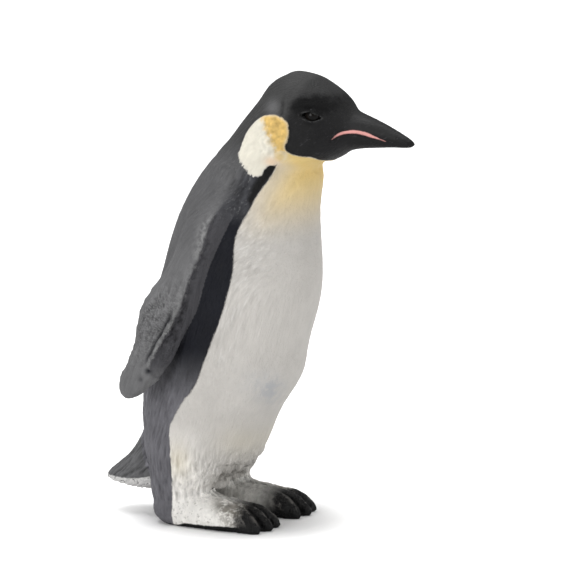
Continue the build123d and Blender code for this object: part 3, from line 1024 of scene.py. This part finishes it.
EFFECTS = {"edge": brushed_edge_effect(), "mottle": mottle_effect(), "strokes": feather_strokes_effect()}
EFFECTS["feathers"] = feather_light_and_shade_effect()
EFFECTS["tooth"] = paint_tooth_effect()


# Paints


def mottled(tree, colour, blotch, stroke):
    return use(tree, "mottle", {"Color": colour, "Blotch": blotch, "Stroke": stroke})


def edged(tree, mark, wander, blur):
    """A hand-painted edge on the line that a mark counts from."""
    return use(tree, "edge", {"Distance": marked(tree, mark), "Wander": wander, "Blur": blur})


def dry_brushed(tree, colour, tone, low, high, share):
    """Paint that caught only on the raised strokes."""
    caught = stretched(tree, use(tree, "strokes", FINE_STROKE), low, high, 0.0, share)
    return mixed(tree, caught, colour, tone)


def feathered(tree, colour):
    return use(tree, "feathers", {"Color": colour, **FEATHER_SHARES})


def new_paint(name):
    paint = bpy.data.materials.new(name)
    paint.use_nodes = True
    return paint, paint.node_tree


def coat_with(tree, colour, rough, sheen):
    """Joins a colour and a roughness to the paint's shader."""
    coat = tree.nodes["Principled BSDF"]
    tree.links.new(colour, coat.inputs["Base Color"])
    tree.links.new(rough, coat.inputs["Roughness"])
    coat.inputs["Specular IOR Level"].default_value = sheen
    return coat


def coat_with_tooth(tree, colour, rough, sheen):
    """The same, with the finest relief."""
    coat = coat_with(tree, colour, rough, sheen)
    height = use(tree, "tooth", TOOTH)
    tooth = node(tree, "ShaderNodeBump", {"Height": height, "Strength": 1.0, "Distance": TOOTH_DEPTH})
    tree.links.new(tooth.outputs[0], coat.inputs["Normal"])


def dark_coat(tree):
    """The grey back, flippers and crown and the black face, with painted shade and highlights on the
    flippers, painted highlights on the cheek, crown and eyelids and painted light on the low back; with it
    the mask of the glossy brow.
    """
    dark = dry_brushed(tree, mottled(tree, GREY, 0.45, 2.5), PALE_GREY, 0.02, 0.2, 0.7)
    # Painted light on the low back, in a lighter, bluer grey.
    dark = mixed(tree, marked(tree, "strip"), dark, mottled(tree, STRIP_GREY, 0.7, 3.0))
    # The flipper scales get painted highlights on their raised parts and painted shade in their hollows.
    scales = use(tree, "strokes", FLIPPER_SCALE, "Scale")
    scale_highlight = marked(tree, "scales", stretched(tree, scales, -0.06, 0.16))
    hollow = marked(tree, "scales", stretched(tree, scales, -0.22, -0.05, 0.3, 0.0))
    blade = mixed(tree, scale_highlight, mottled(tree, FLIPPER_GREY, 0.4, 3.0), SCALE_HIGHLIGHT_GREY)
    dark = mixed(tree, marked(tree, "blade"), dark, mixed(tree, hollow, blade, LEAD_GREY))

    up = node(tree, "ShaderNodeSeparateXYZ", {0: own_place(tree)}).outputs["Z"]
    # Painted shade on the flipper's leading face and inner side, fading out at the top and near the tip.
    lead = times(tree, edged(tree, "lead", 0.5, 0.3), stretched(tree, up, 0.0565, 0.061, 1.0, 0.0))
    lead = times(tree, lead, stretched(tree, up, 0.0255, 0.0305))
    dark = mixed(tree, lead, dark, mottled(tree, LEAD_GREY, 0.5, 2.5))
    # Painted highlight: a broken light grey line along the flipper's ridge, and the same broken pattern for
    # the glints on the lids.
    broken_highlight = stretched(tree, noise(tree, 1100.0, 3.0, 0.7), 0.34, 0.62)
    dark = mixed(tree, marked(tree, "crest", broken_highlight), dark, CREST_HIGHLIGHT_GREY)

    dark = mixed(tree, stretched(tree, up, 0.062, 0.07), dark, mottled(tree, CROWN_GREY, 0.6, 4.0))
    # Painted highlight on the cheek, behind its groove.
    dark = mixed(tree, marked(tree, "cheek", 0.8), dark, PALE_GREY)
    soot = dry_brushed(tree, mottled(tree, SOOT, 0.9, 4.0), LEAD_GREY, 0.1, 0.26, 0.7)
    # The black face, thinned over the crown to leave its painted reflection.
    dark = mixed(tree, marked(tree, "face"), dark, soot)
    # Dark navy behind the flipper, partly dark paint and partly painted shade, and painted shade in the
    # flipper's pits and crack.
    dark = mixed(tree, marked(tree, "gap"), dark, mottled(tree, NAVY_AND_SHADE, 0.9, 3.0))
    shaded = dry_brushed(tree, mottled(tree, SHOULDER, 0.9, 5.0), PALE_GREY, 0.06, 0.18, 0.5)
    dark = mixed(tree, marked(tree, "shade"), dark, shaded)
    dark = mixed(tree, edged(tree, "wedge", 0.8, 0.4), dark, PITCH)
    brow = edged(tree, "brow", 1.6, 0.5)
    dark = mixed(tree, times(tree, brow, 0.9), dark, PITCH)
    # Painted glints: broken light grey specks along the eyelid rims.
    return mixed(tree, marked(tree, "lid", broken_highlight), dark, LID_GLINT_GREY), brow


def pale_front(tree):
    """The chalk-white breast and legs, yellow throat and ear patches, and the speckled tail underside, with
    painted highlights and shade on the feathers of the flank and legs and painted shade between the legs.
    """
    light = mottled(tree, CHALK, 0.3, 0.9)
    light = mixed(tree, marked(tree, "leg", 0.8), light, mottled(tree, LEG_WHITE, 0.3, 2.0))
    # Painted highlights and shade on the feathers of the flank and legs.
    light = feathered(tree, light)
    light = mixed(tree, marked(tree, "cream", 0.5), light, BUTTER)
    # Painted shade: a warm grey between the legs, under the belly.
    light = mixed(tree, marked(tree, "crotch_shade", 0.38), light, mottled(tree, SOIL_AND_SHADE, 1.2, 2.0))
    patchy = stretched(tree, noise(tree, 700.0, 3.0, 0.6), 0.36, 0.6, 0.3, 0.9)
    light = mixed(tree, marked(tree, "smudge", patchy), light, SMUDGE)
    light = mixed(tree, marked(tree, "throat"), light, mottled(tree, TAN, 0.3, 0.8))
    ear = edged(tree, "ear", 0.6, 0.6)
    light = mixed(tree, ear, light, mottled(tree, CREAM, 0.15, 1.0))
    yellow = times(tree, ear, edged(tree, "ear_yellow", 2.4, 0.9))
    light = mixed(tree, yellow, light, mottled(tree, YELLOW, 0.6, 1.6))
    light = mixed(tree, marked(tree, "ear_orange", 0.6), light, ORANGE)
    specks = stretched(tree, noise(tree, 1400.0, 3.0, 0.7), 0.54, 0.62, 0.0, 0.8)
    return mixed(tree, marked(tree, "tail"), light, mixed(tree, specks, TAIL_WHITE, GREY))


def plumage_paint():
    """Grey and black coat over a chalk-white front, with a yellow throat and ear patches."""
    paint, tree = new_paint("plumage_paint")
    dark, brow = dark_coat(tree)
    hairs = use(tree, "strokes", {"Width": 0.35, "Length": 2.0})
    hairy = math_out(tree, "MULTIPLY_ADD", hairs, marked(tree, "brushy"), marked(tree, "pale"))
    front = use(tree, "edge", {"Distance": hairy, "Wander": 0.35, "Blur": 0.14})
    colour = mixed(tree, front, dark, pale_front(tree))
    colour = mixed(tree, edged(tree, "lips", 0.25, 0.12), colour, mottled(tree, SALMON, 0.5, 0.0))
    rough = stretched(tree, noise(tree, 300.0), 0.2, 0.8, 0.46, 0.62)
    coat_with_tooth(tree, colour, math_out(tree, "MULTIPLY_ADD", brow, 0.3, rough), sheen=0.15)
    return paint


def foot_paint():
    """White instep rubbed to brown over black toes, with a dark heel and sole, painted shade on the inner
    sides and painted highlights along the toes.
    """
    paint, tree = new_paint("foot_paint")
    speckle = stretched(tree, noise(tree, 1500.0, 3.0, 0.7), 0.54, 0.68, 0.0, 0.5)
    instep = mixed(tree, speckle, mottled(tree, INSTEP_WHITE, 0.3, 1.5), SOIL_AND_SHADE)
    rubbed = stretched(tree, noise(tree, 560.0, 4.0, 0.75), 0.38, 0.54, 0.15, 1.0)
    instep = mixed(tree, marked(tree, "wash", rubbed), instep, mottled(tree, SOIL_AND_SHADE, 1.4, 3.0))
    # Painted highlights and shade on the leg's feathers.
    leg = feathered(tree, mottled(tree, LEG_WHITE, 0.3, 2.0))
    instep = mixed(tree, marked(tree, "ankle"), instep, leg)
    # Painted highlights: broken lighter lines along the crests of the black toes.
    toe_glint = stretched(tree, noise(tree, 700.0, 3.0, 0.7), 0.42, 0.6, 0.0, 0.4)
    black = mixed(tree, marked(tree, "toe_crest", toe_glint), mottled(tree, PITCH, 1.0, 2.0), TOE_HIGHLIGHT)
    toes = edged(tree, "toes", 3.0, 1.3)
    colour = mixed(tree, toes, instep, black)
    # Painted shade: the feet's inner sides go grey near the ankle and black towards the toes.
    shade = stretched(tree, marked(tree, "toes"), -5.0, 0.8)
    inner = mixed(tree, shade, mottled(tree, INNER_SHADE_GREY, 1.4, 3.0), black)
    colour = mixed(tree, marked(tree, "inner_side"), colour, inner)
    colour = mixed(tree, edged(tree, "heel", 0.4, 0.14), colour, mottled(tree, STRIP_GREY, 0.6, 3.0))
    colour = mixed(tree, edged(tree, "sole", 0.3, 0.12), colour, PITCH)
    coat_with_tooth(tree, colour, stretched(tree, toes, 0.0, 1.0, 0.6, 0.22), sheen=0.17)
    return paint


def eye_gloss():
    """A black, glass-like bead clouded with dark brown."""
    paint, tree = new_paint("eye_gloss")
    cloud = stretched(tree, noise(tree, 900.0, 2.0), 0.35, 0.7)
    colour = mixed(tree, cloud, EYE_BLACK, EYE_BROWN)
    coat_with(tree, colour, stretched(tree, cloud, 0.0, 1.0, 0.12, 0.2), sheen=0.12)
    return paint


# Making the bird


def make_bird():
    plumage, feet = plumage_paint(), foot_paint()
    skin, surfaces = run_together()
    edges = read_edges(skin)
    points = evened(read_points(skin), edges)
    gaps = distances(points, surfaces)
    write_points(skin, soften_joins(points, edges, grouped(gaps)))
    for name in PIECES:
        keep_value(skin, "near_" + name, gaps[name])
    skin = finer(skin)
    gaps = {name: read_value(skin, "near_" + name) for name in PIECES}
    near = grouped(gaps)
    places = side_places(read_points(skin))
    front = inside_by(places, front_outline(), 12.0)
    ear = inside_by(places, smooth_line(EAR_EDGE, closed=True))
    model_face(skin, ear)
    model_eyelids(skin)
    model_belly_folds(skin)
    model_feet(skin, near)
    model_flippers(skin, near)
    set_relief(skin, near, front, ear)
    mark_paint(skin, near, front, ear)
    skin = raise_relief(skin, plumage)
    owner = cut_along_joints(skin, gaps)
    for k, name in enumerate(PIECES):
        mesh, normals = closed_piece(skin, name, owner == k)
        mesh.materials.append(feet if name.endswith("foot") else plumage)
        mesh.transform(Matrix.Scale(MM, 4))
        mesh.normals_split_custom_set_from_vertices(normals)
        piece = link(bpy.data.objects.new(name + "_skin", mesh))
        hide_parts(name)
        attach(piece, "root")


def make_eyes():
    gloss = eye_gloss()
    for name in ("left_eye", "right_eye"):
        bead = merged_copy(name)
        bmesh.ops.scale(bead, vec=(MM,) * 3, verts=bead.verts)
        for face in bead.faces:
            face.smooth = True
        mesh = bpy.data.meshes.new(name + "_bead")
        bead.to_mesh(mesh)
        bead.free()
        mesh.materials.append(gloss)
        piece = link(bpy.data.objects.new(name + "_bead", mesh))
        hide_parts(name)
        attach(piece, "root")


# The stage


def camera_axes():
    """The picture's right and up, and the way from the bird to the camera."""
    turn, rise = math.radians(CAMERA_TURN), math.radians(CAMERA_RISE)
    back = Vector((-math.cos(turn) * math.cos(rise), -math.sin(turn) * math.cos(rise), math.sin(rise)))
    right = Vector((math.sin(turn), -math.cos(turn), 0))
    return right, back.cross(right), back


def place_camera():
    right, up, back = camera_axes()
    middle = Vector((0, BETWEEN_LEGS, HALF_HEIGHT)) + right * PICTURE_MIDDLE[0] + up * PICTURE_MIDDLE[1]
    lens = bpy.data.cameras.new("camera")
    lens.sensor_width = SENSOR_WIDTH
    lens.lens = SENSOR_WIDTH * CAMERA_DISTANCE / PICTURE_WIDTH
    lens.clip_start, lens.clip_end = 0.1, 10
    holder = link(bpy.data.objects.new("camera", lens))
    holder.location = (middle + back * CAMERA_DISTANCE) * MM
    holder.rotation_mode = "QUATERNION"
    holder.rotation_quaternion = (-back).to_track_quat("-Z", "Y")
    bpy.context.scene.camera = holder


def soft_lamp(name, across, upward, towards, size, power):
    """A square lamp, placed as the camera sees it: to the right, upward and towards it, in metres."""
    right, up, back = camera_axes()
    towards_camera = Vector((back.x, back.y, 0)).normalized()
    lamp = bpy.data.lights.new(name, "AREA")
    lamp.shape = "SQUARE"
    lamp.size = size
    lamp.energy = power
    holder = link(bpy.data.objects.new(name, lamp))
    middle = Vector((0, 0, HALF_HEIGHT * MM))
    holder.location = middle + right * across + Vector((0, 0, upward)) + towards_camera * towards
    holder.rotation_mode = "QUATERNION"
    holder.rotation_quaternion = (middle - holder.location).to_track_quat("-Z", "Y")


def lay_floor():
    shape = bmesh.new()
    bmesh.ops.create_grid(shape, x_segments=2, y_segments=2, size=FLOOR_HALF)
    mesh = bpy.data.meshes.new("floor")
    shape.to_mesh(mesh)
    shape.free()
    ground = link(bpy.data.objects.new("floor", mesh))
    paper, tree = new_paint("white_paper")
    coat = tree.nodes["Principled BSDF"]
    tone = stretched(tree, noise(tree, 8.0), 0.0, 1.0, 0.84, 0.86)
    tree.links.new(even_grey(tree, tone), coat.inputs["Base Color"])
    coat.inputs["Roughness"].default_value = 1.0
    coat.inputs["Specular IOR Level"].default_value = 0.0
    coat.inputs["Emission Color"].default_value = (1, 1, 1, 1)
    ray = tree.nodes.new("ShaderNodeLightPath")
    away = node(tree, "ShaderNodeVectorMath", {0: own_place(tree), 1: SHADOW_MIDDLE}, operation="DISTANCE")
    lift = stretched(tree, away.outputs["Value"], *SHADOW_REACH, NEAR_LIFT, FAR_LIFT)
    tree.links.new(times(tree, ray.outputs["Is Camera Ray"], lift), coat.inputs["Emission Strength"])
    mesh.materials.append(paper)


def light_room():
    room = bpy.data.worlds.new("room")
    bpy.context.scene.world = room
    room.use_nodes = True
    tree = room.node_tree
    light = tree.nodes["Background"]
    light.inputs["Color"].default_value = (1, 1, 1, 1)
    ray = tree.nodes.new("ShaderNodeLightPath")
    strengths = {0: ray.outputs["Is Camera Ray"], 2: ROOM_LIGHT, 3: 1.0}
    pick = node(tree, "ShaderNodeMix", strengths, data_type="FLOAT")
    tree.links.new(pick.outputs[0], light.inputs["Strength"])


place_camera()
light_room()
lay_floor()
soft_lamp("key_lamp", across=-0.12, upward=0.97, towards=-0.1, size=0.75, power=8.2)
soft_lamp("left_lamp", across=-0.65, upward=0.25, towards=0.8, size=0.5, power=5.2)
soft_lamp("right_lamp", across=0.8, upward=0.2, towards=0.25, size=0.5, power=2.2)
bpy.context.scene.view_settings.view_transform = "Standard"
make_bird()
make_eyes()
